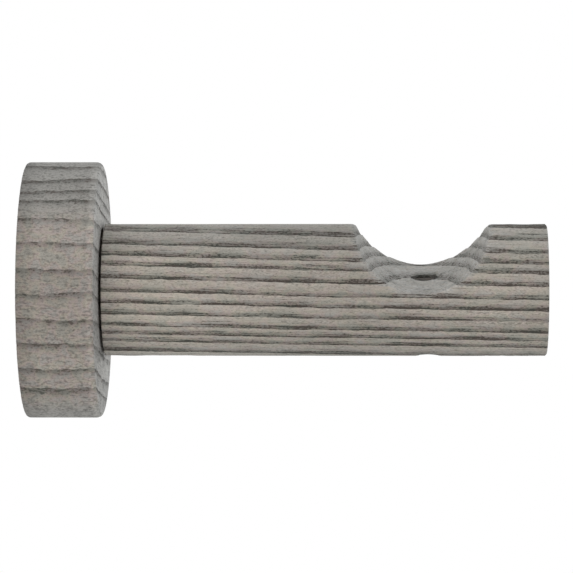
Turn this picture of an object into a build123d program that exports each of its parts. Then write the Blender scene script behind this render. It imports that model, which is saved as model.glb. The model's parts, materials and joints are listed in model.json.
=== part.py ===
"""Curtain pole bracket: a turned wooden rose on the wall carries a dowel arm with a cup for the pole.

The arm is held to the rose by a hanger bolt: its wood thread sits in the arm's end grain, and its machine
thread in an insert nut let into the back of the rose. With the arm unscrewed, two screws fix the rose to the
wall, and the arm then hides them. A screw from below, through the bottom of the cup, locks the pole.

Frame: the origin is the centre of the rose's wall face, +X runs out of the wall along the arm, +Z is up.
Lengths are in millimetres and angles in degrees.
"""

import os
from math import cos, radians, sin, tan

from build123d import *

os.makedirs("parts", exist_ok=True)

# Pole and cup
pole_diameter = 28.0
pole_clearance = 0.5
cup_projection = 83.6
cup_depth = 11.5
cup_edge_round = 0.5

# Arm: its foot is left as sawn and the edge of its tip is broken
arm_diameter = 28.0
tip_projection = 110.0
arm_tip_chamfer = 0.35

# Hole for the screw that locks the pole: drilled a little beyond the cup's middle, it leans sideways, along the
# pole, and slightly back towards the wall
pole_screw_hole = 5.5
pole_screw_offset = 0.7
pole_screw_lean = 14.0
pole_screw_tilt = 3.0

# Rose
rose_diameter = 54.3
rose_thickness = 15.9
rose_front_round = 1.1
rose_back_chamfer = 0.25

# Wall screws, countersunk under the arm's foot
wall_screw_hole = 4.5
wall_screw_head = 8.4
wall_screw_spacing = 18.0
countersink_angle = 90.0

# Open seam between the rose's face and the arm's foot
seam = 0.6

# Hanger bolt
bolt_diameter = 6.0
bolt_wood_length = 32.0
bolt_point_length = 8.0
bolt_point_tip = 1.0
bolt_end_chamfer = 0.7
bolt_end_setback = 1.4
thread_clearance = 0.05
pilot_run_out = 1.0
drill_point_angle = 118.0

# Insert nut
insert_wall = 1.6
insert_end_chamfer = 0.6
insert_flange_ledge = 1.1
insert_flange_thickness = 1.2
insert_recess = 0.3
insert_clearance = 0.1
drive_depth = 3.0
drive_corner_room = 0.25
rose_web = 3.2
bolt_hole_clearance = 0.4

# Places along the arm's axis
arm_foot = rose_thickness + seam
bolt_back = insert_recess + bolt_end_setback
bolt_tip = arm_foot + bolt_wood_length
insert_front = rose_thickness - rose_web - insert_clearance
flange_front = insert_recess + insert_flange_thickness

# Sizes that follow from the fits
cup_radius = pole_diameter / 2 + pole_clearance
cup_axis_height = arm_diameter / 2 - cup_depth + cup_radius
bolt_radius = bolt_diameter / 2
thread_radius = bolt_radius + thread_clearance
insert_radius = thread_radius + insert_wall
flange_radius = insert_radius + insert_flange_ledge
drive_circumradius = (thread_radius + drive_corner_room) / cos(radians(30))

# Planes that the pieces are drawn on
wall_plane = Plane.YZ
foot_plane = wall_plane.offset(arm_foot)
cup_plane = Plane(origin=(cup_projection, 0, cup_axis_height), x_dir=(1, 0, 0), z_dir=(0, -1, 0))
pole_screw_axis = (-tan(radians(pole_screw_tilt)), tan(radians(pole_screw_lean)), 1)
pole_screw_plane = Plane(origin=(cup_projection + pole_screw_offset, 0, 0), z_dir=pole_screw_axis)

# Wall rose: a disc with eased edges, a stepped seat for the insert nut and two countersunk screw holes
with BuildPart() as wall_rose:
    with BuildSketch(wall_plane):
        Circle(rose_diameter / 2)
    extrude(amount=rose_thickness)
    rims = wall_rose.edges().filter_by(GeomType.CIRCLE).sort_by(Axis.X)
    fillet(rims[-1], radius=rose_front_round)
    rims = wall_rose.edges().filter_by(GeomType.CIRCLE).sort_by(Axis.X)
    chamfer(rims[0], length=rose_back_chamfer)
    with BuildSketch(wall_plane):
        Circle(flange_radius + insert_clearance)
    extrude(amount=flange_front, mode=Mode.SUBTRACT)
    with BuildSketch(wall_plane):
        Circle(insert_radius + insert_clearance)
    extrude(amount=rose_thickness - rose_web, mode=Mode.SUBTRACT)
    with BuildSketch(wall_plane):
        Circle(bolt_radius + bolt_hole_clearance)
    extrude(amount=rose_thickness, mode=Mode.SUBTRACT)
    with Locations(wall_plane.offset(rose_thickness)):
        with GridLocations(0, wall_screw_spacing, 1, 2):
            CounterSinkHole(wall_screw_hole / 2, wall_screw_head / 2, counter_sink_angle=countersink_angle)

# Arm: a dowel with the cup cut across its top, the pole screw's hole through the cup, and a pilot hole in its
# foot for the hanger bolt's wood thread
with BuildPart() as arm:
    with BuildSketch(foot_plane):
        Circle(arm_diameter / 2)
    extrude(amount=tip_projection - arm_foot)
    tip_rim = arm.edges().filter_by(GeomType.CIRCLE).sort_by(Axis.X)[-1]
    chamfer(tip_rim, length=arm_tip_chamfer)
    with BuildSketch(cup_plane):
        Circle(cup_radius)
    extrude(amount=arm_diameter, both=True, mode=Mode.SUBTRACT)
    round_faces = arm.faces().filter_by(GeomType.CYLINDER)
    cup_wall = round_faces.filter_by(lambda face: Axis.Y.is_parallel(face.axis_of_rotation))
    fillet(cup_wall.edges(), radius=cup_edge_round)
    with BuildSketch(pole_screw_plane):
        Circle(pole_screw_hole / 2)
    extrude(amount=arm_diameter, both=True, mode=Mode.SUBTRACT)
    pilot_end = arm_foot + bolt_wood_length + pilot_run_out
    drill_point = thread_radius / sin(radians(drill_point_angle / 2)) * cos(radians(drill_point_angle / 2))
    with BuildSketch(Plane.XZ):
        with BuildLine():
            Polyline(
                (arm_foot, 0),
                (arm_foot, thread_radius),
                (pilot_end, thread_radius),
                (pilot_end + drill_point, 0),
                close=True,
            )
        make_face()
    revolve(axis=Axis.X, mode=Mode.SUBTRACT)

# Hanger bolt: chamfered machine end, plain threads at their outside size and a long wood point
with BuildPart() as hanger_bolt:
    with BuildSketch(Plane.XZ):
        with BuildLine():
            Polyline(
                (bolt_back, 0),
                (bolt_back, bolt_radius - bolt_end_chamfer),
                (bolt_back + bolt_end_chamfer, bolt_radius),
                (bolt_tip - bolt_point_length, bolt_radius),
                (bolt_tip, bolt_point_tip / 2),
                (bolt_tip, 0),
                close=True,
            )
        make_face()
    revolve(axis=Axis.X)

# Insert nut: a flanged sleeve with a hexagon drive at the flange
with BuildPart() as insert_nut:
    with BuildSketch(Plane.XZ):
        with BuildLine():
            Polyline(
                (insert_recess, thread_radius),
                (insert_recess, flange_radius),
                (flange_front, flange_radius),
                (flange_front, insert_radius),
                (insert_front - insert_end_chamfer, insert_radius),
                (insert_front, insert_radius - insert_end_chamfer),
                (insert_front, thread_radius),
                close=True,
            )
        make_face()
    revolve(axis=Axis.X)
    with BuildSketch(wall_plane.offset(insert_recess)):
        RegularPolygon(drive_circumradius, 6)
    extrude(amount=drive_depth, mode=Mode.SUBTRACT)

wall_rose.part.label = "wall_rose"
arm.part.label = "arm"
hanger_bolt.part.label = "hanger_bolt"
insert_nut.part.label = "insert_nut"

export_step(wall_rose.part, "parts/wall_rose.step")
export_step(arm.part, "parts/arm.step")
export_step(hanger_bolt.part, "parts/hanger_bolt.step")
export_step(insert_nut.part, "parts/insert_nut.step")
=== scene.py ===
"""Curtain pole bracket in grey-washed, wire-brushed wood, modelled around its CAD frame.

The rose and the arm are cut as in the frame, remeshed finely and then brushed: the soft early wood
of every growth ring is sunk below the hard late wood. One description of each piece's growth rings
drives both its relief and its colours. Lengths are in metres, as in the frame, and grain sizes are
in millimetres.
"""

import json
import math

import bpy
from bpy.props import FloatProperty, FloatVectorProperty, PointerProperty
from mathutils import Matrix, Vector


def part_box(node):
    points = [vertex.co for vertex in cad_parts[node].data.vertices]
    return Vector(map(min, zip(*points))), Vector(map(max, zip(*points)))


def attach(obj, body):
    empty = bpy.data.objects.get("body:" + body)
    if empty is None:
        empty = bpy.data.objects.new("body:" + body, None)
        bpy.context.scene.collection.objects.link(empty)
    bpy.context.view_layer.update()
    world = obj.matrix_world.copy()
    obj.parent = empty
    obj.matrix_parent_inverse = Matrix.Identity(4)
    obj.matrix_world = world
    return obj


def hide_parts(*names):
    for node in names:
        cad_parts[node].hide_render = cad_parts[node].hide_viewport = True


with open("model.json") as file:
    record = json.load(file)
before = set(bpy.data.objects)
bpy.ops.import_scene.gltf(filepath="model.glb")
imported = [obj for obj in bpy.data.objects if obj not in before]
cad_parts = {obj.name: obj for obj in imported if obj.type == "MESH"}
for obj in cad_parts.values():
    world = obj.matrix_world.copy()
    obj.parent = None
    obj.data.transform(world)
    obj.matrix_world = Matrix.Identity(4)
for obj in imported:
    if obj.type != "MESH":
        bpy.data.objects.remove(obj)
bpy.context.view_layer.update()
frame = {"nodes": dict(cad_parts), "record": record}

bl_info = {
    "name": "Curtain Pole Bracket",
    "version": (1, 0, 0),
    "blender": (4, 5, 0),
    "location": "3D View > Sidebar > Bracket",
    "description": "Models a brushed wooden curtain pole bracket on its CAD frame",
    "category": "Object",
}

MM = 0.001
BODY = "root"
WHITE = (1.0, 1.0, 1.0, 1.0)

# Places and sizes that the frame gives
MOUNTS = {mount["name"]: mount for mount in frame["record"]["mounts"]}
ROSE_LOW, ROSE_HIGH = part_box("wall_rose")
ARM_LOW, ARM_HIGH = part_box("arm")
BOLT_LOW, BOLT_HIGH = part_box("hanger_bolt")
INSERT_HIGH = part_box("insert_nut")[1]
CUP_CENTRE = Vector(MOUNTS["pole_cup"]["pos_m"])
CUP_RADIUS = MOUNTS["pole_cup"]["dims"]["r_mm"] * MM
SCREW_POINT = Vector(MOUNTS["pole_screw_hole"]["pos_m"])
SCREW_AXIS = Vector(MOUNTS["pole_screw_hole"]["axis"])
SCREW_RADIUS = MOUNTS["pole_screw_hole"]["dims"]["r_mm"] * MM
WALL_SCREW_RADIUS = MOUNTS["wall_screws"]["dims"]["hole_r_mm"] * MM
WALL_SCREW_SPACING = MOUNTS["wall_screws"]["dims"]["spacing_y_mm"] * MM

# Modelling: places nearer than TOUCH are the same, and a cutter reaches PAST the face that it cuts
TOUCH = 0.01 * MM
PAST = Vector((MM, 0, 0))
HOLE_SIDES = 160
RIM_SIDES = 256
CUP_SIDES = 512
ROUNDING_STEPS = 4

# Arm: how far the cutters of its cup and of the pole screw's hole reach to both sides, by the arm's
# radius, and how its cup's rim is smoothed
CUP_CUTTER_REACH = 1.5
SCREW_CUTTER_REACH = 2
CUP_RIM_REACH = 0.7 * MM
CUP_RIM_SMOOTHING = 0.5
CUP_RIM_REPEATS = 2

# Hanger bolt: its mesh, where a thread fades out, the flanks of its wood thread, and the share of
# its radius that is always left
BOLT_SIDES = 48
BOLT_RINGS = 400
BOLT_SMOOTH_ANGLE = math.radians(35)
THREAD_FADE = 2 * MM
WOOD_FLANK = (0.1, 0.6)
CORE_SHARE = 0.6

# Growth rings of each piece: where the early wood starts, as millimetres further from the pith than
# the piece's middle
ARM_RINGS = (
    -17.7, -15.5, -13.3, -10.8, -9.05, -7.15, -4.6, -2.2, 0.15, 2.95, 5.5, 7.4, 9.5, 11.9, 14.15,
    16.4,
)
ROSE_RINGS = (
    -28.8, -25.2, -21.2, -18.25, -15.9, -11.8, -6.6, -1.1, 3.4, 8.5, 13.5, 18.6, 22.1, 29.0,
)

# How light the wood is: along the arm from its foot to its tip, painted lighter at the foot to lift
# the rose's shade there, and up the rose's rim
ARM_LIGHTNESS = (
    (0.0, 0.95), (0.1, 0.9), (0.3, 0.8), (0.55, 0.7), (0.7, 0.75), (0.9, 0.8), (1.0, 0.75),
)
ROSE_LIGHTNESS = ((0.0, 0.95), (0.3, 1.0), (0.4, 0.9), (0.65, 0.85), (0.75, 0.95), (1.0, 1.0))

# Grain: the fine waver of the rings, where in the noise each ring's own breaks and tone lie, and a
# hair's breadth that keeps a ring's start inside the ring
WAVER_SIZES = (3.5, 2.5, 2)
LIFE_JUMP = 5.37
TONE_JUMP = 3.7
TONE_LENGTH = 60
TONE_SLICE = 0.5
RING_GUARD = 0.0001

# Grain: how strongly early wood opens, how much is left closed, and where the outer rings' lines
# turn steady
EARLY_GAIN = 1.3
CLOSED = 0.5
STEADY_GAIN = 0.3
STEADY_HEIGHTS = (10, 20)

# Colour of the wood: clouds of wash, the heights in a ring where its hardest wood begins and is
# full, and how much each ring and each cloud changes the tone
CLOUD_SIZES = (4, 3, 2.5)
CLOUD_ROUGHNESS = 0.55
TINT_STOPS = (0.4, 0.48, 0.54, 0.62)
PORE_STOPS = (0.45, 0.55)
HARD_HEIGHTS = (0.8, 1.9)
RING_TONE = 0.4
CLOUD_TONE = 0.9

# Colour of the wood: how far cut wood turns to its own colour, and how worn wood smooths and fades
# the grain
CUT_SHARE = 0.85
WORN_SMOOTH = 0.85
WORN_FADE = 0.58

# Surface of the wood: fine relief in its shading, roughness of its pale and open grain, and gloss
GRIT_RELIEF = 0.5
STRAND_RELIEF = 0.5
PORE_RELIEF = 0.6
BUMP_STRENGTH = 0.35
BUMP_DEPTH = 0.1 * MM
WOOD_ROUGHNESS = (0.78, 0.95)
WOOD_GLOSS = 0.2

# Arm: borders of the cup and the hole beyond their walls, the cup's fraying by strands and grit,
# painted shade in the hole, a gain on how light it is, and painted cool light above and below
CUP_BORDER = (-0.1, 1.1)
CUP_FRAY = (6, 4)
BORE_BORDER = (0.05, 0.22)
BORE_SHADE = 0.55
ARM_LIGHTNESS_GAIN = 1.29
ARM_COOL_LIGHT_HEIGHTS = (8, 13)
ARM_COOL_LIGHT_SHARE = 0.4

# Rose: borders of its face and its rounding, as millimetres beyond its rim and below its face
FACE_BORDER = (-1.2, -0.7)
FACE_DEPTHS = (0.1, 0.7)
EDGE_DEPTHS = (0.9, 1.7)

# Rose: painted shade on the face beside the arm, which slopes, and the face under the arm's foot,
# painted lighter to lift the deep shade in the seam
SHADE_SLOPE = 0.22
SHADE_HEIGHTS = (13, 16)
SHADE_SHARE = 0.22
FOOT_BORDER = (-0.6, 0.0)

# Rose: painted shade on the rim from its back on and on the face from its bottom up, how worn the
# rounding is, a painted highlight near and darker far, and heights of painted cool light
RIM_DEPTHS = (0, 5)
RIM_PAINTED_SHADE = (0.84, 1.08)
FACE_HEIGHTS = (-1.0, -0.5)
FACE_PAINTED_SHADE = (0.83, 0.94)
EDGE_WORN = 0.6
FAR_SIDE = (-0.2, 0.2)
EDGE_NEAR_HIGHLIGHT_FAR_DARK = (0.13, -0.15)
ROSE_COOL_LIGHT_HEIGHTS = (17, 23)

# Steel: its mottle, how dull it gets and its roughness
MOTTLE_SIZE = 2
MOTTLE_DETAIL = 3.0
DULL_SHARE = 0.7
STEEL_ROUGHNESS = (0.3, 0.5)

# Stage
FLOOR_SIZE = 8.0
LAMP_SIZE = 0.9
LAMP_TARGET = Vector((0.055, 0, 0))
KEY_PLACE = Vector((-0.2, -1.2, 0.25))
BACK_PLACE = Vector((0.9, 0.8, 0.1))
SENSOR_WIDTH = 36.0
CLIP_START = 0.01

# Sockets of the Mix node's colour mode, which share their names with those of its other modes
MIX_FACTOR, MIX_BELOW, MIX_ABOVE, MIX_RESULT = 0, 6, 7, 2


def shade(red, green, blue):
    """A colour as the screen shows it, from 0 to 255, as a linear colour by the sRGB curve."""
    levels = (red / 255, green / 255, blue / 255)
    return tuple(x / 12.92 if x <= 0.04045 else ((x + 0.055) / 1.055) ** 2.4 for x in levels)


def opaque(colour):
    """A colour with the alpha that a node's colour socket takes."""
    return (*colour, 1.0)


class Field:
    """A socket in a node tree. Sums on fields are Python expressions, and each adds a Math node."""

    def __init__(self, tree, socket=None):
        self.tree = tree
        self.socket = socket

    def node(self, kind, settings=None, inputs=None, output=0):
        """Adds a node: its settings first, then its sockets' values or links. Gives an output."""
        node = self.tree.nodes.new(kind)
        for name, value in (settings or {}).items():
            if name == "stops":
                set_stops(node.color_ramp, value)
            elif name == "points":
                set_points(node.mapping, value)
            else:
                setattr(node, name, value)
        for name, value in (inputs or {}).items():
            if isinstance(value, Field):
                self.tree.links.new(value.socket, node.inputs[name])
            else:
                node.inputs[name].default_value = value
        return Field(self.tree, node.outputs[output] if len(node.outputs) else None)

    def maths(self, operation, *values):
        return self.node("ShaderNodeMath", {"operation": operation}, dict(enumerate(values)))

    def __add__(self, other):
        return self.maths("ADD", self, other)

    def __radd__(self, other):
        return self.maths("ADD", other, self)

    def __sub__(self, other):
        return self.maths("SUBTRACT", self, other)

    def __rsub__(self, other):
        return self.maths("SUBTRACT", other, self)

    def __mul__(self, other):
        return self.maths("MULTIPLY", self, other)

    def __rmul__(self, other):
        return self.maths("MULTIPLY", other, self)

    def __truediv__(self, other):
        return self.maths("DIVIDE", self, other)

    def __rtruediv__(self, other):
        return self.maths("DIVIDE", other, self)

    def __pow__(self, other):
        return self.maths("POWER", self, other)

    def __rpow__(self, other):
        return self.maths("POWER", other, self)

    def floor(self):
        return self.maths("FLOOR", self)

    def larger(self, other):
        return self.maths("MAXIMUM", self, other)

    def smaller(self, other):
        return self.maths("MINIMUM", self, other)

    def step(self, low, high):
        """Rises smoothly from 0 at low to 1 at high."""
        limits = {"Value": self, "From Min": low, "From Max": high, "To Min": 0.0, "To Max": 1.0}
        return self.node("ShaderNodeMapRange", {"interpolation_type": "SMOOTHSTEP"}, limits)

    def away(self, low, high):
        """Rises smoothly from 0 within low of the middle to 1 beyond high, on both sides."""
        return (self * self).step(low ** 2, high ** 2)

    def span(self, low, high):
        """Stretches 0 to 1 into low to high, and goes no further."""
        limits = {"Value": self, "From Min": 0.0, "From Max": 1.0, "To Min": low, "To Max": high}
        return self.node("ShaderNodeMapRange", None, limits)

    def share(self):
        """Holds a number between 0 and 1."""
        return self.span(0, 1)

    def swing(self):
        """Noise as a swing to both sides of 0."""
        return self - 0.5

    def curve(self, points):
        """Follows a curve through these points."""
        inputs = {"Factor": 1.0, "Value": self}
        return self.node("ShaderNodeFloatCurve", {"points": points}, inputs)

    def vectors(self, operation, *values, output="Vector"):
        settings = {"operation": operation}
        return self.node("ShaderNodeVectorMath", settings, dict(enumerate(values)), output)

    def dot(self, direction):
        return self.vectors("DOT_PRODUCT", self, direction, output="Value")

    def scale(self, amount):
        """Makes a vector or a colour this many times as large."""
        return self.node("ShaderNodeVectorMath", {"operation": "SCALE"}, {0: self, "Scale": amount})

    def distance(self, origin, axis):
        """How far a point is from the line through an origin along an axis."""
        offset = self.vectors("SUBTRACT", self, origin)
        lever = self.vectors("CROSS_PRODUCT", offset, axis)
        return self.vectors("LENGTH", lever, output="Value")

    def axes(self):
        """The three parts of a vector."""
        split = self.node("ShaderNodeSeparateXYZ", None, {0: self}).socket.node
        return [Field(self.tree, output) for output in split.outputs]

    def vector(self, x, y, z):
        return self.node("ShaderNodeCombineXYZ", None, {0: x, 1: y, 2: z})

    def noise(self, x, y, z, detail=2.0, roughness=0.5):
        """Smooth noise from 0 to 1 at a place."""
        place = self.vector(x, y, z)
        inputs = {"Vector": place, "Scale": 1.0, "Detail": detail, "Roughness": roughness}
        return self.node("ShaderNodeTexNoise", None, inputs)

    def blend(self, below, above):
        """Mixes two colours, with this field as the share of the second."""
        inputs = {MIX_FACTOR: self, MIX_BELOW: below, MIX_ABOVE: above}
        return self.node("ShaderNodeMix", {"data_type": "RGBA"}, inputs, MIX_RESULT)

    def ramp(self, places, colours):
        """Runs through these colours, each at its place."""
        stops = [(place, opaque(colour)) for place, colour in zip(places, colours)]
        return self.node("ShaderNodeValToRGB", {"stops": stops}, {"Fac": self})


def set_stops(ramp, stops):
    """Gives a colour ramp these stops, each a place and a colour."""
    while len(ramp.elements) < len(stops):
        ramp.elements.new(1.0)
    for element, (place, colour) in zip(ramp.elements, stops):
        element.position = place
        element.color = colour


def set_points(mapping, points):
    """Gives a curve these points, joined by straight lines."""
    curve = mapping.curves[0]
    while len(curve.points) < len(points):
        curve.points.new(1.0, 1.0)
    for point, place in zip(curve.points, points):
        point.location = place
        point.handle_type = "VECTOR"
    mapping.update()


class Timber:
    """How one piece was sawn from the tree, and how its grain looks.

    The fibres run along the pith, and the rings are round it. The early wood is a list of heights
    above a ring's start, each with its share of open grain. The sway, strand and grit are noise
    sizes along the fibres, across them and across the rings, and the life's are along and across.
    The wander is how far the rings stray, slowly and quickly. Steady is how far the outer lines
    lose their breaks. The contrast is how strongly life, strands and grit open the grain, and the
    fleck is how strongly grit and strands change the pale wood's tone.
    """

    def __init__(
        self, fibre, pith, middle, rings, wander, sway, early, strand, grit, life, steady, contrast,
        fleck,
    ):
        lever = (Vector(middle) - Vector(pith)).cross(Vector(fibre).normalized())
        self.fibre = Vector(fibre).normalized()
        self.pith = Vector(pith)
        self.middle = lever.length
        self.breadth = lever.normalized()
        self.rings = rings
        self.wander = wander
        self.sway = sway
        self.early = early
        self.strand = strand
        self.grit = grit
        self.life = life
        self.steady = steady
        self.contrast = contrast
        self.fleck = fleck


# The arm's fibres sink a little towards its tip, and its pith lay below it and towards its front
ARM_TIMBER = Timber(
    fibre=(1.0, 0.0, -0.0208),
    pith=(0.0638, -0.0233, -0.1228),
    middle=(0.0638, 0.0, 0.0),
    rings=ARM_RINGS,
    wander=(0.35, 0.28),
    sway=(45, 40, 25),
    early=(
        (0.0, 0.0), (0.04, 1.12), (0.2, 1.04), (0.4, 0.96), (0.6, 0.88), (0.85, 0.72), (1.05, 0.56),
        (1.25, 0.44), (1.6, 0.36), (3.0, 0.1),
    ),
    strand=(9.0, 0.7, 0.26),
    grit=(0.6, 0.45, 0.26),
    life=(14, 12),
    steady=0.0,
    contrast=(1.7, 2.6, 2.5),
    fleck=(1.8, 0.9),
)
# The rose's fibres lie in its face, and its pith lay above it
ROSE_TIMBER = Timber(
    fibre=(0.0, 0.941, -0.339),
    pith=(0.008, 0.0475, 0.1317),
    middle=(0.008, 0.0, 0.0),
    rings=ROSE_RINGS,
    wander=(1.2, 0.6),
    sway=(45, 24, 9),
    early=(
        (0.0, 0.0), (0.1, 0.86), (0.5, 0.8), (0.8, 0.62), (1.1, 0.42), (1.5, 0.24), (2.2, 0.1),
        (5.5, 0.0),
    ),
    strand=(5.0, 1.8, 0.36),
    grit=(1.0, 0.6, 0.36),
    life=(9, 2.6),
    steady=0.65,
    contrast=(2.6, 2.5, 3.2),
    fleck=(1.65, 1.2),
)


class Figure:
    """The grain of a piece of wood at a point: its place in a growth ring and how open it is.

    Open counts strands and grit, sunk only strands, and soft neither of them.
    """

    def __init__(self, point, timber):
        self.point = point
        self.along = point.dot(timber.fibre / MM)
        self.across = point.dot(timber.breadth / MM)
        self.height = (point.distance(timber.pith, timber.fibre) - timber.middle) / MM
        slow, quick = timber.wander
        drift = self.noise(timber.sway, detail=1.0).swing() * (2 * slow)
        waver = self.noise(WAVER_SIZES, detail=3.0, roughness=0.6).swing() * (2 * quick)
        self.ring, self.rise = self.place_in_ring(self.height + drift + waver, timber.rings)
        self.strands = self.noise(timber.strand)
        self.grit = self.noise(timber.grit, roughness=0.6)
        early_end = timber.early[-1][0]
        opening = [(rise / early_end, amount) for rise, amount in timber.early]
        early = (self.rise / early_end).curve(opening)
        length, breadth = timber.life
        lively = point.noise(
            self.along / length, self.ring * LIFE_JUMP, self.across / breadth, detail=3.0)
        life, strands, grit = timber.contrast
        steady = self.height.away(*STEADY_HEIGHTS) * timber.steady
        gain = lively.swing() * (1 - steady) * life + EARLY_GAIN + steady * STEADY_GAIN
        pull = early * gain - CLOSED + self.strands.swing() * strands
        self.soft = (early * EARLY_GAIN - CLOSED).share()
        self.sunk = pull.share()
        self.open = (pull + self.grit.swing() * grit).share()

    def noise(self, sizes, detail=2.0, roughness=0.5):
        """Noise of these sizes along the fibres, across them and across the rings."""
        length, breadth, depth = sizes
        return self.point.noise(
            self.along / length, self.across / breadth, self.height / depth, detail, roughness)

    def place_in_ring(self, height, rings):
        """The number of the ring that a height lies in, and how far above its start it lies."""
        low, high, last = rings[0], rings[-1], len(rings) - 1
        starts = [((start - low) / (high - low), i / last) for i, start in enumerate(rings)]
        count = ((height - low) / (high - low)).curve(starts) * last
        ring = (count + RING_GUARD).floor()
        start = (ring / last).curve([(number, place) for place, number in starts])
        return ring, height - start * (high - low) - low


def cup_nearness(point, fray=0.0):
    """1 on the cup's wall and 0 a little way outside it. Fray, in millimetres, moves its edge."""
    x, _, z = point.axes()
    aside = (x - CUP_CENTRE.x) / MM
    below = (z - CUP_CENTRE.z) / MM
    beyond = (aside * aside + below * below) ** 0.5 + fray - CUP_RADIUS / MM
    return 1 - beyond.step(*CUP_BORDER)


def bore_nearness(point):
    """1 on the wall of the pole screw's hole, falling to 0 just outside it."""
    beyond = (point.distance(SCREW_POINT, SCREW_AXIS) - SCREW_RADIUS) / MM
    return 1 - beyond.step(*BORE_BORDER)


def face_nearness(point):
    """On the rose: 1 on its face, on the rounding round it, beside the arm and under its foot."""
    x, y, z = point.axes()
    radius = (y * y + z * z) ** 0.5
    depth = (ROSE_HIGH.x - x) / MM
    inside = 1 - ((radius - ROSE_HIGH.z) / MM).step(*FACE_BORDER)
    face = (1 - depth.step(*FACE_DEPTHS)) * inside
    edge = (1 - depth.step(*EDGE_DEPTHS)) * (1 - inside)
    beside = face * (1 - ((y * SHADE_SLOPE + z) / MM).away(*SHADE_HEIGHTS))
    under = face * (1 - ((radius - ARM_HIGH.y) / MM).step(*FOOT_BORDER))
    return face, edge, beside, under


def wash(place, low, high, points):
    """How light the wood is at a place between low and high, along a curve of points."""
    return ((place - low) / (high - low)).curve(points)


def displace(piece, offset):
    """Moves a piece's surface by what the offset function gives for a point and its normal."""
    tree = bpy.data.node_groups.new(f"{piece.name}_surface", "GeometryNodeTree")
    for way in ("INPUT", "OUTPUT"):
        tree.interface.new_socket("Geometry", in_out=way, socket_type="NodeSocketGeometry")
    field = Field(tree)
    surface = field.node("NodeGroupInput")
    point = field.node("GeometryNodeInputPosition")
    normal = field.node("GeometryNodeInputNormal")
    inputs = {"Geometry": surface, "Offset": offset(point, normal)}
    moved = field.node("GeometryNodeSetPosition", None, inputs)
    field.node("NodeGroupOutput", None, {0: moved})
    modify(piece, "NODES", node_group=tree)
    bpy.data.node_groups.remove(tree)


def brush(piece, timber, depth, cup_depth=None):
    """Sinks the open grain below the surface, as a wire brush does."""

    def sink(point, normal):
        figure = Figure(point, timber)
        amount = figure.sunk * -depth
        if cup_depth is not None:
            cup = cup_nearness(point)
            amount = amount * (1 - cup) - figure.soft * cup * cup_depth
        return normal.scale(amount)

    displace(piece, sink)


def modify(piece, kind, **settings):
    """Adds a modifier to a piece, with these settings, and applies it."""
    bpy.context.view_layer.objects.active = piece
    bpy.ops.object.modifier_add(type=kind)
    modifier = piece.modifiers[-1]
    for name, value in settings.items():
        setattr(modifier, name, value)
    bpy.ops.object.modifier_apply(modifier=modifier.name)


def settle(piece):
    """Puts a piece's place, turn and size into its mesh."""
    bpy.ops.object.select_all(action="DESELECT")
    piece.select_set(True)
    bpy.context.view_layer.objects.active = piece
    bpy.ops.object.transform_apply(location=True, rotation=True, scale=True)


def add_round(name, start, end, radius, end_radius=None, sides=HOLE_SIDES):
    """A round bar or cone between two points."""
    bpy.ops.object.select_all(action="DESELECT")
    axis = end - start
    bpy.ops.mesh.primitive_cone_add(
        vertices=sides, radius1=radius, radius2=radius if end_radius is None else end_radius,
        depth=axis.length, location=(start + end) / 2,
        rotation=axis.to_track_quat("Z", "Y").to_euler(),
    )
    piece = bpy.context.object
    piece.name = name
    settle(piece)
    return piece


def add_rod(name, start, end, radius, sides, rings):
    """A round bar along X, made of short rings and closed at both ends."""
    bpy.ops.object.select_all(action="DESELECT")
    step = (end - start) / rings
    bpy.ops.mesh.primitive_cylinder_add(
        vertices=sides, radius=radius, depth=step, end_fill_type="NOTHING",
        location=(start + step / 2, 0, 0), rotation=(0, math.pi / 2, 0),
    )
    rod = bpy.context.object
    rod.name = name
    settle(rod)
    modify(
        rod, "ARRAY", count=rings, use_relative_offset=False, use_constant_offset=True,
        constant_offset_displace=(step, 0, 0), use_merge_vertices=True, merge_threshold=TOUCH,
    )
    bpy.ops.object.mode_set(mode="EDIT")
    bpy.ops.mesh.select_all(action="SELECT")
    bpy.ops.mesh.fill_holes(sides=0)
    bpy.ops.mesh.normals_make_consistent(inside=False)
    bpy.ops.object.mode_set(mode="OBJECT")
    return rod


def cut(piece, cutter, operation="DIFFERENCE"):
    """Takes the cutter's shape out of a piece, or keeps only what lies inside the cutter."""
    modify(piece, "BOOLEAN", operation=operation, solver="EXACT", object=cutter)
    bpy.data.objects.remove(cutter)


def deselect_mesh(piece, kind):
    """Makes a piece active, with no vertex, edge or face of its mesh selected."""
    settle(piece)
    bpy.ops.object.mode_set(mode="EDIT")
    bpy.ops.mesh.select_mode(type=kind)
    bpy.ops.mesh.select_all(action="DESELECT")
    bpy.ops.object.mode_set(mode="OBJECT")


def ease(piece, x, offset, segments=1):
    """Chamfers the rim of a round piece at this place along X, or rounds it with more segments."""
    deselect_mesh(piece, "EDGE")
    mesh = piece.data
    for edge in mesh.edges:
        ends = [mesh.vertices[i].co.x for i in edge.vertices]
        edge.select = all(abs(end - x) < TOUCH for end in ends)
    bpy.ops.object.mode_set(mode="EDIT")
    bpy.ops.mesh.bevel(offset=offset, segments=segments, affect="EDGES")
    bpy.ops.object.mode_set(mode="OBJECT")


def soften(piece, near, factor, repeats):
    """Smooths a piece near an edge. The near function tells that from a vertex's place."""
    deselect_mesh(piece, "VERT")
    for vertex in piece.data.vertices:
        vertex.select = near(vertex.co)
    bpy.ops.object.mode_set(mode="EDIT")
    bpy.ops.mesh.vertices_smooth(factor=factor, repeat=repeats)
    bpy.ops.object.mode_set(mode="OBJECT")


def refine(piece, spacing, stretch):
    """Remeshes a piece into small faces, which are longer along X than across it."""
    piece.scale = (1 / stretch, 1, 1)
    settle(piece)
    modify(piece, "REMESH", mode="VOXEL", voxel_size=spacing, use_smooth_shade=True)
    piece.scale = (stretch, 1, 1)
    settle(piece)


def finish_wood(piece, node, material):
    """Gives a wooden piece its finish, and its place in the frame."""
    piece.data.materials.clear()
    piece.data.materials.append(material)
    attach(piece, BODY)
    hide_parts(node)


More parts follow.
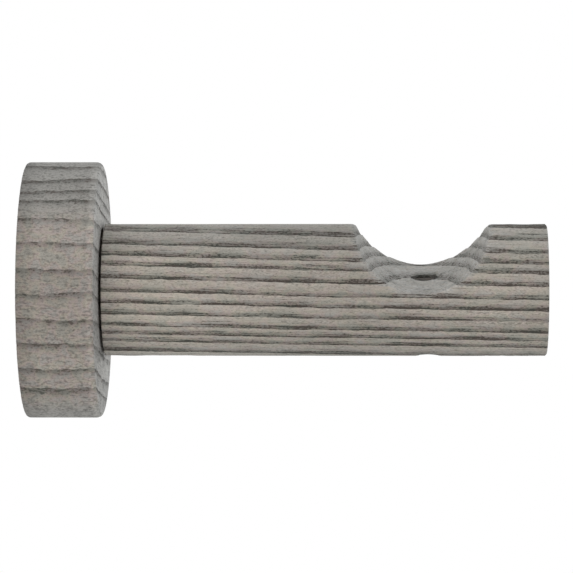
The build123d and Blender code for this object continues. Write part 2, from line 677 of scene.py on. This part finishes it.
def new_material(name):
    """A material with a bare node tree: gives it and a field to build in."""
    material = bpy.data.materials.new(name)
    material.use_nodes = True
    material.node_tree.nodes.clear()
    return material, Field(material.node_tree)


def wood_material(name, timber, finish, stain, warmth, fill, cut_colour, cuts):
    """Grey-washed brushed wood: pale late wood, dark open grain and cloudy patches of wash.

    The stain multiplies the pale wood, the warmth is how far its hardest part turns to beige, and
    the fill is how far the wash fills the open grain. The cuts are a function that gives, for a
    point and its figure, where the wood was cut across the grain, where it is worn smooth, how
    light it is with its painted light and shade, and how far it takes the painted cool light.
    """
    material, field = new_material(name)
    point = field.node("ShaderNodeTexCoord", None, None, "Object")
    figure = Figure(point, timber)
    sawn, worn, light, cool_light = cuts(point, figure)
    cloud = figure.noise(CLOUD_SIZES, roughness=CLOUD_ROUGHNESS)

    tint = cloud.ramp(TINT_STOPS, (finish.green, finish.pale, finish.pink, finish.wash))
    tint = (figure.rise.step(*HARD_HEIGHTS) * warmth).blend(tint, opaque(finish.warm))
    # Painted cool light on the upper and lower sides, standing in for cooler light there
    tint = cool_light.blend(tint, opaque(finish.cool_light))
    grit, strands = timber.fleck
    own = point.noise(
        figure.ring * TONE_JUMP, figure.along / TONE_LENGTH, TONE_SLICE, detail=1.0)
    tone = figure.grit.swing() * grit + figure.strands.swing() * strands + 1
    tone += own.swing() * RING_TONE + cloud.swing() * sawn * CLOUD_TONE
    raised = field.vectors("MULTIPLY", tint, tuple(stain))
    pale = (sawn * CUT_SHARE).blend(raised, opaque(cut_colour)).scale(tone * light)

    deep = cloud.ramp(PORE_STOPS, (finish.pore, finish.pore_warm)).scale(light)
    smooth = worn * WORN_SMOOTH
    grain = figure.open * (1 - smooth) + figure.soft * smooth
    colour = (grain * (1 - worn * WORN_FADE) * (1 - fill)).blend(pale, deep)

    relief = figure.grit * GRIT_RELIEF + figure.strands * STRAND_RELIEF - figure.open * PORE_RELIEF
    bump = field.node("ShaderNodeBump", None, {
        "Strength": BUMP_STRENGTH, "Distance": BUMP_DEPTH, "Height": relief,
    })
    shader = field.node("ShaderNodeBsdfPrincipled", None, {
        "Base Color": colour, "Roughness": figure.open.span(*WOOD_ROUGHNESS),
        "Specular IOR Level": WOOD_GLOSS, "Normal": bump,
    })
    field.node("ShaderNodeOutputMaterial", None, {"Surface": shader})
    return material


def arm_cuts(point, figure):
    """The arm's cup, with a frayed edge, how light the arm is, painted lighter at its foot, its
    painted cool light above and below, and the painted shade in the pole screw's hole.
    """
    strands, grit = CUP_FRAY
    cup = cup_nearness(point, figure.strands.swing() * strands + figure.grit.swing() * grit)
    x, _, z = point.axes()
    # Painted light: lighter near the foot, which lifts the rose's shade on the arm there
    light = wash(x, ARM_LOW.x, ARM_HIGH.x, ARM_LIGHTNESS) * ARM_LIGHTNESS_GAIN
    # Painted cool light on the arm's upper and lower sides
    cool_light = (z / MM).away(*ARM_COOL_LIGHT_HEIGHTS) * ARM_COOL_LIGHT_SHARE
    return cup, cup, light * (1 - bore_nearness(point) * BORE_SHADE), cool_light


def rose_cuts(point, figure):
    """The rose's face, with painted shade beside the arm, its rim, painted darker at its back, and
    the worn rounding between them, with a painted highlight near and darker far.
    """
    face, edge, beside, under = face_nearness(point)
    x, y, z = point.axes()
    # Painted shade: the rim darker towards its back edge
    rim = wash(z, ROSE_LOW.z, ROSE_HIGH.z, ROSE_LIGHTNESS) * (x / MM).step(*RIM_DEPTHS).span(*RIM_PAINTED_SHADE)
    # Painted shade: the face darker towards its bottom and beside the arm
    front = (z / ROSE_HIGH.z).step(*FACE_HEIGHTS).span(*FACE_PAINTED_SHADE) * (1 - beside * SHADE_SHARE)
    # Under the arm's foot the face is painted twice as light, which lifts the shade in the seam
    light = rim * (1 - face) + front * face * (under + 1)
    # Painted highlight on the rounding's near side, and darker on its far side
    far = (y / ROSE_HIGH.z).step(*FAR_SIDE)
    # Painted cool light on the rim's upper and lower parts
    cool_light = (z / MM).away(*ROSE_COOL_LIGHT_HEIGHTS)
    return face, edge * EDGE_WORN, light * (edge * far.span(*EDGE_NEAR_HIGHLIGHT_FAR_DARK) + 1), cool_light


def steel_material(name, colour):
    """Zinc-plated steel with a faint mottle."""
    material, field = new_material(name)
    point = field.node("ShaderNodeTexCoord", None, None, "Object")
    mottle = point.noise(*(axis / (MOTTLE_SIZE * MM) for axis in point.axes()), MOTTLE_DETAIL)
    dull = tuple(DULL_SHARE * part for part in colour)
    shader = field.node("ShaderNodeBsdfPrincipled", None, {
        "Base Color": mottle.blend(opaque(dull), opaque(colour)), "Metallic": 1.0,
        "Roughness": mottle.span(*STEEL_ROUGHNESS),
    })
    field.node("ShaderNodeOutputMaterial", None, {"Surface": shader})
    return material


class BracketFinish(bpy.types.PropertyGroup):
    """Colours of the wood and the fittings, and the depth of the brushing."""

    pale: FloatVectorProperty(
        name="Pale wood", description="Raised late wood", subtype="COLOR",
        default=shade(169, 161, 148))
    warm: FloatVectorProperty(
        name="Warm wood", description="Hardest wood at the end of each ring", subtype="COLOR",
        default=shade(167, 158, 148))
    pink: FloatVectorProperty(
        name="Pink wood", description="Rosy patches", subtype="COLOR",
        default=shade(168, 155, 149))
    green: FloatVectorProperty(
        name="Green wood", description="Greenish patches", subtype="COLOR",
        default=shade(157, 154, 145))
    wash: FloatVectorProperty(
        name="Grey wash", description="Patches of thicker wash", subtype="COLOR",
        default=shade(160, 156, 150))
    # Painted cool light: the colour of the upper and lower sides, standing in for cooler light
    # there
    cool_light: FloatVectorProperty(
        name="Cool wash", description="Wash of the upper and lower parts", subtype="COLOR",
        default=shade(159, 156, 150))
    pore: FloatVectorProperty(
        name="Open grain", description="Sunk early wood", subtype="COLOR",
        default=shade(67, 67, 62))
    pore_warm: FloatVectorProperty(
        name="Warm open grain", description="Rosy patches of the sunk early wood", subtype="COLOR",
        default=shade(74, 68, 63))
    cut: FloatVectorProperty(
        name="Cut wood", description="Smoother, greyer wood of the cup", subtype="COLOR",
        default=shade(165, 164, 160))
    # Greyer cut wood of the face, painted lighter than the cup's to stand in for the light on it
    face: FloatVectorProperty(
        name="Rose face", description="Lighter, greyer wood of the rose's face", subtype="COLOR",
        default=shade(178, 176, 172))
    rose_stain: FloatVectorProperty(
        name="Rose stain", description="Multiplies the pale colours on the rose",
        default=(0.78, 0.79, 0.805))
    arm_stain: FloatVectorProperty(
        name="Arm stain", description="Multiplies the pale colours on the arm",
        default=(0.98, 1.005, 1.015))
    rose_warmth: FloatProperty(
        name="Rose warmth", description="How far the rose's hardest wood turns warm",
        subtype="FACTOR", default=0.15)
    arm_warmth: FloatProperty(
        name="Arm warmth", description="How far the arm's hardest wood turns warm",
        subtype="FACTOR", default=0.55)
    rose_fill: FloatProperty(
        name="Rose fill", description="How far the wash fills the rose's open grain",
        subtype="FACTOR", default=0.1)
    arm_fill: FloatProperty(
        name="Arm fill", description="How far the wash fills the arm's open grain",
        subtype="FACTOR", default=0.0)
    zinc: FloatVectorProperty(
        name="Zinc", description="Plating of the hanger bolt", subtype="COLOR",
        default=(0.58, 0.57, 0.55))
    yellow_zinc: FloatVectorProperty(
        name="Yellow zinc", description="Plating of the insert nut", subtype="COLOR",
        default=(0.62, 0.55, 0.38))
    arm_relief: FloatProperty(
        name="Arm relief", description="Depth of the brushed grain", unit="LENGTH",
        default=0.16 * MM)
    cup_relief: FloatProperty(
        name="Cup relief", description="Depth of the grain in the cup", unit="LENGTH",
        default=0.22 * MM)
    rose_relief: FloatProperty(
        name="Rose relief", description="Depth of the brushed grain", unit="LENGTH",
        default=0.03 * MM)


class BracketSizes(bpy.types.PropertyGroup):
    """Sizes of edges, seats, threads and meshes."""

    arm_edge: FloatProperty(
        name="Arm edge", description="Chamfer at the arm's tip", unit="LENGTH",
        default=0.35 * MM)
    rose_front_edge: FloatProperty(
        name="Rose front edge", description="Rounding of the rose's front rim", unit="LENGTH",
        default=1.1 * MM)
    rose_back_edge: FloatProperty(
        name="Rose back edge", description="Chamfer of the rose's back rim", unit="LENGTH",
        default=0.25 * MM)
    screw_head: FloatProperty(
        name="Screw head", description="Radius of the wall screws' countersinks", unit="LENGTH",
        default=4.2 * MM)
    seat_room: FloatProperty(
        name="Seat room", description="Room around the insert nut in the rose", unit="LENGTH",
        default=0.1 * MM)
    flange_depth: FloatProperty(
        name="Flange depth", description="Depth of the recess for the nut's flange", unit="LENGTH",
        default=1.5 * MM)
    flange_ledge: FloatProperty(
        name="Flange ledge", description="How far the nut's flange stands out", unit="LENGTH",
        default=1.1 * MM)
    bolt_room: FloatProperty(
        name="Bolt room", description="Room around the hanger bolt in the rose", unit="LENGTH",
        default=0.4 * MM)
    thread_room: FloatProperty(
        name="Thread room", description="Room around the wood thread in the arm", unit="LENGTH",
        default=0.05 * MM)
    pilot_run_out: FloatProperty(
        name="Pilot run-out", description="Pilot hole beyond the hanger bolt", unit="LENGTH",
        default=1.0 * MM)
    drill_point: FloatProperty(
        name="Drill point", description="Angle at the end of the pilot hole", subtype="ANGLE",
        default=math.radians(118))
    bolt_chamfer: FloatProperty(
        name="Bolt chamfer", description="At the hanger bolt's machine end", unit="LENGTH",
        default=0.7 * MM)
    bolt_point: FloatProperty(
        name="Bolt point", description="Length of the hanger bolt's point", unit="LENGTH",
        default=8 * MM)
    bolt_tip: FloatProperty(
        name="Bolt tip", description="Radius at the very tip", unit="LENGTH",
        default=0.5 * MM)
    machine_pitch: FloatProperty(
        name="Machine pitch", description="Of the thread in the insert nut", unit="LENGTH",
        default=1.0 * MM)
    machine_depth: FloatProperty(
        name="Machine depth", description="Of the thread in the insert nut", unit="LENGTH",
        default=0.58 * MM)
    wood_pitch: FloatProperty(
        name="Wood pitch", description="Of the thread in the arm", unit="LENGTH",
        default=2.6 * MM)
    wood_depth: FloatProperty(
        name="Wood depth", description="Of the thread in the arm", unit="LENGTH",
        default=0.85 * MM)
    arm_faces: FloatProperty(
        name="Arm faces", description="Width of the arm's mesh faces", unit="LENGTH",
        default=0.235 * MM)
    arm_stretch: FloatProperty(
        name="Arm stretch", description="Length of the arm's mesh faces by their width",
        default=2.6)
    rose_faces: FloatProperty(
        name="Rose faces", description="Width of the rose's mesh faces", unit="LENGTH",
        default=0.275 * MM)
    rose_stretch: FloatProperty(
        name="Rose stretch", description="Length of the rose's mesh faces by their width",
        default=2.0)


class BracketStage(bpy.types.PropertyGroup):
    """Camera, lights and floor."""

    camera_distance: FloatProperty(
        name="Camera distance", description="From the arm's axis", unit="LENGTH", default=0.714)
    camera_elevation: FloatProperty(
        name="Camera elevation", description="Above the arm's level", subtype="ANGLE",
        default=math.radians(13.8))
    camera_along: FloatProperty(
        name="Camera along", description="Place along the arm", unit="LENGTH", default=0.074)
    aim_along: FloatProperty(
        name="Aim along", description="Place along the arm that the camera looks at",
        unit="LENGTH", default=0.05494)
    aim_above: FloatProperty(
        name="Aim above", description="How far above the arm's axis the camera looks",
        unit="LENGTH", default=0.00072)
    lens: FloatProperty(name="Lens", description="Focal length in millimetres", default=211.27)
    world_light: FloatProperty(
        name="Sky light", description="Even light from all round", default=0.88)
    sky_colour: FloatVectorProperty(
        name="Sky colour", description="Of the even light", subtype="COLOR",
        default=(0.95, 0.975, 1.0))
    key_light: FloatProperty(
        name="Key light", description="Power of the soft lamp in front", unit="POWER", default=3.3)
    key_colour: FloatVectorProperty(
        name="Key colour", description="Of the soft lamp in front", subtype="COLOR",
        default=(1.0, 0.84, 0.7))
    back_light: FloatProperty(
        name="Back light", description="Power of the soft lamp behind", unit="POWER", default=3.7)
    back_colour: FloatVectorProperty(
        name="Back colour", description="Of the soft lamp behind", subtype="COLOR",
        default=(0.95, 0.98, 1.0))
    floor_colour: FloatVectorProperty(
        name="Floor colour", description="As it lights the bracket", subtype="COLOR",
        default=(0.84, 0.85, 0.85))
    floor_drop: FloatProperty(
        name="Floor drop", description="Floor below the arm's axis", unit="LENGTH", default=0.25)


class BRACKET_OT_rose(bpy.types.Operator):
    """Model the wall rose: a disc with eased rims, screw holes and a seat for the insert nut"""

    bl_idname = "bracket.rose"
    bl_label = "Wall Rose"

    def execute(self, context):
        finish, sizes = context.scene.bracket_finish, context.scene.bracket_sizes
        back, front = Vector((ROSE_LOW.x, 0, 0)), Vector((ROSE_HIGH.x, 0, 0))
        rose = add_round("rose_brushed", back, front, ROSE_HIGH.z, sides=RIM_SIDES)
        ease(rose, front.x, sizes.rose_front_edge, ROUNDING_STEPS)
        ease(rose, back.x, sizes.rose_back_edge)
        flange = INSERT_HIGH.z + sizes.seat_room
        recess = Vector((sizes.flange_depth, 0, 0))
        seat = Vector((INSERT_HIGH.x + sizes.seat_room, 0, 0))
        cut(rose, add_round("flange_seat", -PAST, recess, flange))
        cut(rose, add_round("insert_seat", -PAST, seat, flange - sizes.flange_ledge))
        cut(rose, add_round("bolt_hole", -PAST, front + PAST, BOLT_HIGH.z + sizes.bolt_room))
        sink = Vector((sizes.screw_head - WALL_SCREW_RADIUS, 0, 0))
        sink_end = sizes.screw_head + PAST.x
        for side in (-1, 1):
            place = Vector((0, 0, side * WALL_SCREW_SPACING / 2))
            mouth = front + place
            cut(rose, add_round("screw_hole", place - PAST, mouth + PAST, WALL_SCREW_RADIUS))
            cut(rose, add_round(
                "screw_sink", mouth - sink, mouth + PAST, WALL_SCREW_RADIUS, sink_end))
        refine(rose, sizes.rose_faces, sizes.rose_stretch)
        brush(rose, ROSE_TIMBER, finish.rose_relief)
        wood = wood_material(
            "rose_wood_brushed", ROSE_TIMBER, finish, finish.rose_stain, finish.rose_warmth,
            finish.rose_fill, finish.face, rose_cuts)
        finish_wood(rose, "wall_rose", wood)
        return {"FINISHED"}


class BRACKET_OT_arm(bpy.types.Operator):
    """Model the arm: a dowel with the pole's cup, its screw's hole and the bolt's pilot hole"""

    bl_idname = "bracket.arm"
    bl_label = "Arm"

    def execute(self, context):
        finish, sizes = context.scene.bracket_finish, context.scene.bracket_sizes
        foot, tip = Vector((ARM_LOW.x, 0, 0)), Vector((ARM_HIGH.x, 0, 0))
        radius = -ARM_LOW.z
        arm = add_round("arm_brushed", foot - PAST, tip + PAST, radius, sides=RIM_SIDES)
        aside = Vector((0, CUP_CUTTER_REACH * radius, 0))
        cut(arm, add_round(
            "cup_cutter", CUP_CENTRE - aside, CUP_CENTRE + aside, CUP_RADIUS, sides=CUP_SIDES))
        self.drill_pilot(arm, foot, sizes)
        refine(arm, sizes.arm_faces, sizes.arm_stretch)
        soften(arm, self.on_cup_rim, CUP_RIM_SMOOTHING, CUP_RIM_REPEATS)
        brush(arm, ARM_TIMBER, finish.arm_relief, finish.cup_relief)
        outline = add_round("arm_outline", foot, tip, radius + PAST.x, sides=RIM_SIDES)
        ease(outline, tip.x, PAST.x + sizes.arm_edge)
        cut(arm, outline, "INTERSECT")
        through = SCREW_AXIS * radius * SCREW_CUTTER_REACH
        cut(arm, add_round(
            "screw_cutter", SCREW_POINT - through, SCREW_POINT + through, SCREW_RADIUS))
        wood = wood_material(
            "arm_wood_brushed", ARM_TIMBER, finish, finish.arm_stain, finish.arm_warmth,
            finish.arm_fill, finish.cut, arm_cuts)
        finish_wood(arm, "arm", wood)
        return {"FINISHED"}

    def drill_pilot(self, arm, foot, sizes):
        """Drills the hole for the hanger bolt's wood thread, with a drill's pointed end."""
        radius = BOLT_HIGH.z + sizes.thread_room
        end = Vector((BOLT_HIGH.x + sizes.pilot_run_out, 0, 0))
        point = Vector((radius / math.tan(sizes.drill_point / 2), 0, 0))
        cut(arm, add_round("pilot_cutter", foot - PAST * 2, end, radius))
        cut(arm, add_round("drill_point_cutter", end, end + point, radius, 0.0))

    def on_cup_rim(self, place):
        """Whether a place is near the edge between the cup and the arm's outside."""
        from_cup = math.hypot(place.x - CUP_CENTRE.x, place.z - CUP_CENTRE.z) - CUP_RADIUS
        from_outside = math.hypot(place.y, place.z) - ARM_HIGH.y
        return abs(from_cup) < CUP_RIM_REACH and abs(from_outside) < CUP_RIM_REACH


class BRACKET_OT_fittings(bpy.types.Operator):
    """Model the hanger bolt with its two threads, and plate it and the insert nut"""

    bl_idname = "bracket.fittings"
    bl_label = "Fittings"

    def execute(self, context):
        finish, sizes = context.scene.bracket_finish, context.scene.bracket_sizes
        bolt = add_rod(
            "hanger_bolt_threaded", BOLT_LOW.x, BOLT_HIGH.x, BOLT_HIGH.z, BOLT_SIDES, BOLT_RINGS)
        displace(bolt, lambda point, normal: self.thread(point, sizes))
        bpy.ops.object.shade_smooth_by_angle(angle=BOLT_SMOOTH_ANGLE)
        bolt.data.materials.append(steel_material("hanger_bolt_zinc", finish.zinc))
        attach(bolt, BODY)
        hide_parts("hanger_bolt")
        insert = frame["nodes"]["insert_nut"].data.materials
        insert.clear()
        insert.append(steel_material("insert_nut_zinc", finish.yellow_zinc))
        return {"FINISHED"}

    def thread(self, point, sizes):
        """Turns a rod's chamfer and point, and cuts its threads: how far each place moves."""
        x, y, z = point.axes()
        radius = ((y * y + z * z) ** 0.5).larger(TOUCH)
        chamfered = x - BOLT_LOW.x + (BOLT_HIGH.z - sizes.bolt_chamfer)
        taper = (BOLT_HIGH.z - sizes.bolt_tip) / sizes.bolt_point
        pointed = (BOLT_HIGH.x - x) * taper + sizes.bolt_tip
        outside = chamfered.smaller(pointed).smaller(BOLT_HIGH.z)
        turn = y.maths("ARCTAN2", y, z) / (2 * math.pi)
        machine = self.groove(x, turn, sizes.machine_pitch) * sizes.machine_depth
        machine *= 1 - x.step(INSERT_HIGH.x, INSERT_HIGH.x + THREAD_FADE)
        wood = self.groove(x, turn, sizes.wood_pitch).step(*WOOD_FLANK) * sizes.wood_depth
        wood *= x.step(ARM_LOW.x, ARM_LOW.x + THREAD_FADE)
        turned = (outside - machine - wood).larger(outside * CORE_SHARE)
        scale = turned.smaller(radius) / radius - 1
        return point.vector(0.0, y * scale, z * scale)

    def groove(self, x, turn, pitch):
        """0 on a thread's crest, rising to 1 halfway to the next one."""
        turns = x / pitch - turn
        phase = turns.maths("FRACT", turns)
        return 1 - phase.maths("ABSOLUTE", phase * 2 - 1)


class BRACKET_OT_stage(bpy.types.Operator):
    """Set the floor, the soft lights and the camera"""

    bl_idname = "bracket.stage"
    bl_label = "Stage"

    def execute(self, context):
        stage = context.scene.bracket_stage
        self.add_floor(stage)
        self.add_world(context, stage)
        self.add_lamp(context, "key", stage.key_light, stage.key_colour, KEY_PLACE)
        self.add_lamp(context, "back", stage.back_light, stage.back_colour, BACK_PLACE)
        self.add_camera(context, stage)
        context.scene.view_settings.view_transform = "Standard"
        return {"FINISHED"}

    def add_floor(self, stage):
        bpy.ops.object.select_all(action="DESELECT")
        bpy.ops.mesh.primitive_plane_add(size=FLOOR_SIZE, location=(0, 0, -stage.floor_drop))
        floor = bpy.context.object
        floor.name = "floor"
        settle(floor)
        material, field = new_material("floor_white")
        matt = field.node("ShaderNodeBsdfDiffuse", None, {"Color": opaque(stage.floor_colour)})
        white = field.node("ShaderNodeEmission", None, {"Color": WHITE, "Strength": 1.0})
        shader = self.backdrop(field, matt, white)
        field.node("ShaderNodeOutputMaterial", None, {"Surface": shader})
        floor.data.materials.append(material)

    def add_world(self, context, stage):
        world = bpy.data.worlds.new("studio")
        context.scene.world = world
        world.use_nodes = True
        world.node_tree.nodes.clear()
        field = Field(world.node_tree)
        light = {"Color": opaque(stage.sky_colour), "Strength": stage.world_light}
        sky = field.node("ShaderNodeBackground", None, light)
        white = field.node("ShaderNodeBackground", None, {"Color": WHITE, "Strength": 1.0})
        shader = self.backdrop(field, sky, white)
        field.node("ShaderNodeOutputWorld", None, {"Surface": shader})

    def backdrop(self, field, lit, white):
        """White where the camera, a reflection or glass looks straight at it, and else as lit."""
        rays = field.node("ShaderNodeLightPath").socket.node
        camera, glossy, clear = [
            Field(field.tree, rays.outputs[name])
            for name in ("Is Camera Ray", "Is Glossy Ray", "Is Transmission Ray")
        ]
        seen = camera.larger(glossy).larger(clear)
        return field.node("ShaderNodeMixShader", None, {0: seen, 1: lit, 2: white})

    def add_lamp(self, context, name, power, colour, place):
        """A soft square lamp that shines on the bracket."""
        data = bpy.data.lights.new(name, "AREA")
        data.energy = power
        data.color = colour
        data.size = LAMP_SIZE
        lamp = bpy.data.objects.new(name, data)
        lamp.location = place
        lamp.rotation_euler = (LAMP_TARGET - place).to_track_quat("-Z", "Y").to_euler()
        context.scene.collection.objects.link(lamp)

    def add_camera(self, context, stage):
        """Looks at the bracket from the front and a little above, with the arm level."""
        rise = stage.camera_elevation
        up = Vector((0, math.sin(rise), math.cos(rise)))
        towards = Vector((0, -math.cos(rise), math.sin(rise)))
        place = Vector((stage.camera_along, 0, 0)) + towards * stage.camera_distance
        target = Vector((stage.aim_along, 0, 0)) + up * stage.aim_above
        forward = (target - place).normalized()
        level_up = Vector((1, 0, 0)).cross(forward).normalized()
        right = forward.cross(level_up)
        turn = Matrix((right, level_up, -forward)).transposed().to_4x4()
        data = bpy.data.cameras.new("camera")
        data.lens = stage.lens
        data.sensor_width = SENSOR_WIDTH
        data.clip_start = CLIP_START
        camera = bpy.data.objects.new("camera", data)
        camera.matrix_world = Matrix.Translation(place) @ turn
        context.scene.collection.objects.link(camera)
        context.scene.camera = camera


class VIEW3D_PT_bracket(bpy.types.Panel):
    """Lists the bracket's pieces and settings"""

    bl_label = "Curtain Pole Bracket"
    bl_space_type = "VIEW_3D"
    bl_region_type = "UI"
    bl_category = "Bracket"

    def draw(self, context):
        for operator in OPERATORS:
            self.layout.operator(operator.bl_idname)
        for group_name in GROUPS:
            group = getattr(context.scene, group_name)
            box = self.layout.box()
            for name in group.bl_rna.properties.keys():
                if name not in ("rna_type", "name"):
                    box.prop(group, name)


GROUPS = {
    "bracket_finish": BracketFinish, "bracket_sizes": BracketSizes, "bracket_stage": BracketStage,
}
OPERATORS = (BRACKET_OT_rose, BRACKET_OT_arm, BRACKET_OT_fittings, BRACKET_OT_stage)
CLASSES = (*GROUPS.values(), *OPERATORS, VIEW3D_PT_bracket)


def register():
    for item in CLASSES:
        bpy.utils.register_class(item)
    for name, group in GROUPS.items():
        setattr(bpy.types.Scene, name, PointerProperty(type=group))


def unregister():
    for name in GROUPS:
        delattr(bpy.types.Scene, name)
    for item in reversed(CLASSES):
        bpy.utils.unregister_class(item)


def main():
    register()
    bpy.ops.bracket.rose()
    bpy.ops.bracket.arm()
    bpy.ops.bracket.fittings()
    bpy.ops.bracket.stage()


if __name__ == "__main__":
    main()
